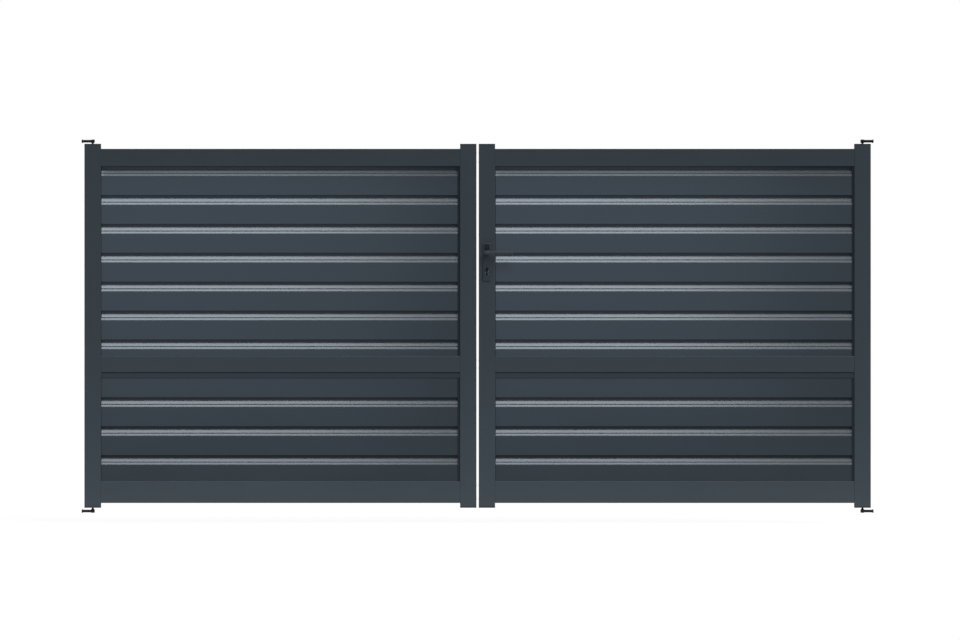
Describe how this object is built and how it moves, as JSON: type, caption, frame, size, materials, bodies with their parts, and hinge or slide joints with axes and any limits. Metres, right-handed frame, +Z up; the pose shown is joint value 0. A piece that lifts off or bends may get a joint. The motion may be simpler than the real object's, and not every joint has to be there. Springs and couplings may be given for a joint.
{
  "type": "louvred double swing gate",
  "caption": "Double-leaf louvred aluminium swing gate with hollow slats, hinge arms on both sides, a lever handle and a key cylinder.",
  "frame": {"origin": "middle of the left bottom hinge's flange, on the pillar face", "axes": "+X along the closed gate to the right, -Y the street side with the outside lever, +Z up"},
  "size_m": [3.48, 0.146, 1.6415],
  "materials": {
    "frame_coat": "anthracite powder coat, satin",
    "slat_coat": "anthracite powder coat, satin",
    "channel_coat": "anthracite powder coat, matt",
    "cap_plastic": "moulded, fine grain",
    "hinge_black": "black enamel on forged steel",
    "handle_coat": "anthracite powder coat, satin",
    "cylinder_metal": "dark nickel plating on brass",
    "lock_steel": "brushed stainless and zinc plated steel"
  },
  "bodies": {
    "root": {"left_bottom_hinge": "hinge_black", "left_top_hinge": "hinge_black", "right_bottom_hinge": "hinge_black", "right_top_hinge": "hinge_black"},
    "left_leaf": {"left_bottom_rail": "frame_coat", "left_hinge_stile": "frame_coat", "left_meeting_stile": "frame_coat", "left_middle_rail": "frame_coat", "left_slat_01": "slat_coat", "left_slat_02": "slat_coat", "left_slat_03": "slat_coat", "left_slat_04": "slat_coat", "left_slat_05": "slat_coat", "left_slat_06": "slat_coat", "left_slat_07": "slat_coat", "left_slat_08": "slat_coat", "left_slat_09": "slat_coat", "left_slat_10": "slat_coat", "left_slat_11": "slat_coat", "left_slat_channel": "channel_coat", "left_stile_caps": "cap_plastic", "left_strike_plate": "lock_steel", "left_top_rail": "frame_coat"},
    "right_leaf": {"handle_backplates": "handle_coat", "key_cylinder": "cylinder_metal", "right_bottom_rail": "frame_coat", "right_hinge_stile": "frame_coat", "right_lock_case": "lock_steel", "right_lock_faceplate": "lock_steel", "right_meeting_stile": "frame_coat", "right_middle_rail": "frame_coat", "right_slat_01": "slat_coat", "right_slat_02": "slat_coat", "right_slat_03": "slat_coat", "right_slat_04": "slat_coat", "right_slat_05": "slat_coat", "right_slat_06": "slat_coat", "right_slat_07": "slat_coat", "right_slat_08": "slat_coat", "right_slat_09": "slat_coat", "right_slat_10": "slat_coat", "right_slat_11": "slat_coat", "right_slat_channel": "channel_coat", "right_stile_caps": "cap_plastic", "right_top_rail": "frame_coat"},
    "lever": {"handle_levers": "handle_coat", "lever_spindle": "lock_steel"}
  },
  "joints": [
    {"name": "left_leaf_swing", "type": "hinge", "parent": "root", "child": "left_leaf", "pos_m": [0.0475, 0, 0.01475], "axis": [0, 0, 1], "range_deg": [0, 90]},
    {"name": "right_leaf_swing", "type": "hinge", "parent": "root", "child": "right_leaf", "pos_m": [3.4325, 0, 0.01475], "axis": [0, 0, -1], "range_deg": [0, 90]},
    {"name": "lever_turn", "type": "hinge", "parent": "right_leaf", "child": "lever", "pos_m": [1.781, 0, 1.13475], "axis": [0, 1, 0], "range_deg": [0, 45], "stiffness_Nm_per_rad": 1, "springref_deg": -28.65}
  ]
}
